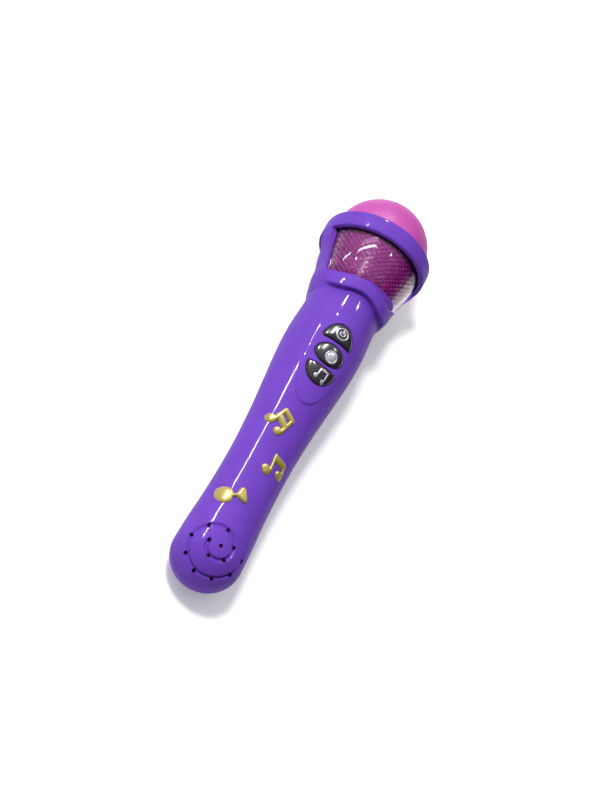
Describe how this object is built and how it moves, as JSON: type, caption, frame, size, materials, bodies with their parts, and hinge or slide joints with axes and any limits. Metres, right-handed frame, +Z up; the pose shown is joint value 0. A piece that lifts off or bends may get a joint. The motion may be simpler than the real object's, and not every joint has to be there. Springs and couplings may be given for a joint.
{
  "type": "toy microphone",
  "caption": "Toy microphone with a slim handle, push buttons, a clear flared head under a pink dome, a speaker in its tail and a battery door at its back.",
  "frame": {"origin": "on the resting plane under the middle of the bounding box", "axes": "+X along the microphone from its rounded tail to its pink dome, +Y to the side, +Z up through the front, where the buttons are, as it lies on its back"},
  "size_m": [0.2406, 0.0588, 0.0584],
  "materials": {
    "purple": "moulded, glossy violet",
    "clear": "clear, with small prisms on its inside",
    "pink": "moulded, glossy pink, lets light through",
    "smoke": "moulded, glossy dark grey",
    "gold": "moulded, old gold",
    "rubber": "moulded, matt",
    "board": "lacquered circuit board",
    "lens": "clear lens",
    "chip": "moulded, matt black",
    "steel": "plated",
    "magnet": "ceramic magnet in a steel cup",
    "paper": "pressed paper",
    "cell": "printed sleeve",
    "lead": "insulated wire"
  },
  "bodies": {
    "body": {"front_shell": "purple", "back_shell": "purple", "clear_globe": "clear", "dome_cap": "pink", "note_upper": "gold", "note_middle": "gold", "note_lower": "gold", "rubber_dome_1": "rubber", "rubber_dome_2": "rubber", "rubber_dome_3": "rubber", "led_board": "board", "main_board": "board", "led_red": "lens", "led_green": "lens", "led_blue": "lens", "sound_chip": "chip", "capacitor": "chip", "board_screw_1": "steel", "board_screw_2": "steel", "speaker_frame": "steel", "battery_spring_left": "steel", "battery_spring_right": "steel", "bridge_plate": "steel", "positive_plate": "steel", "negative_plate": "steel", "case_screw_1": "steel", "case_screw_2": "steel", "case_screw_3": "steel", "speaker_magnet": "magnet", "speaker_cone": "paper", "battery_left": "cell", "battery_right": "cell", "speaker_lead": "lead", "battery_lead": "lead", "led_lead": "lead"},
    "power_key": {"button_power": "smoke"},
    "mode_key": {"button_mode": "smoke"},
    "music_key": {"button_music": "smoke"},
    "battery_cover": {"battery_door": "purple", "door_screw": "steel"}
  },
  "joints": [
    {"name": "power_press", "type": "slide", "parent": "body", "child": "power_key", "axis": [0.0603, 0, -0.9982], "range_m": [0, 0.0012], "stiffness_N_per_m": 600, "deforming": ["rubber_dome_1"]},
    {"name": "mode_press", "type": "slide", "parent": "body", "child": "mode_key", "axis": [0.0603, 0, -0.9982], "range_m": [0, 0.0012], "stiffness_N_per_m": 600, "deforming": ["rubber_dome_2"]},
    {"name": "music_press", "type": "slide", "parent": "body", "child": "music_key", "axis": [0.0603, 0, -0.9982], "range_m": [0, 0.0012], "stiffness_N_per_m": 600, "deforming": ["rubber_dome_3"]},
    {"name": "battery_door_lift", "type": "slide", "parent": "body", "child": "battery_cover", "axis": [0.0603, 0, -0.9982], "range_m": [0, 0.01]}
  ]
}
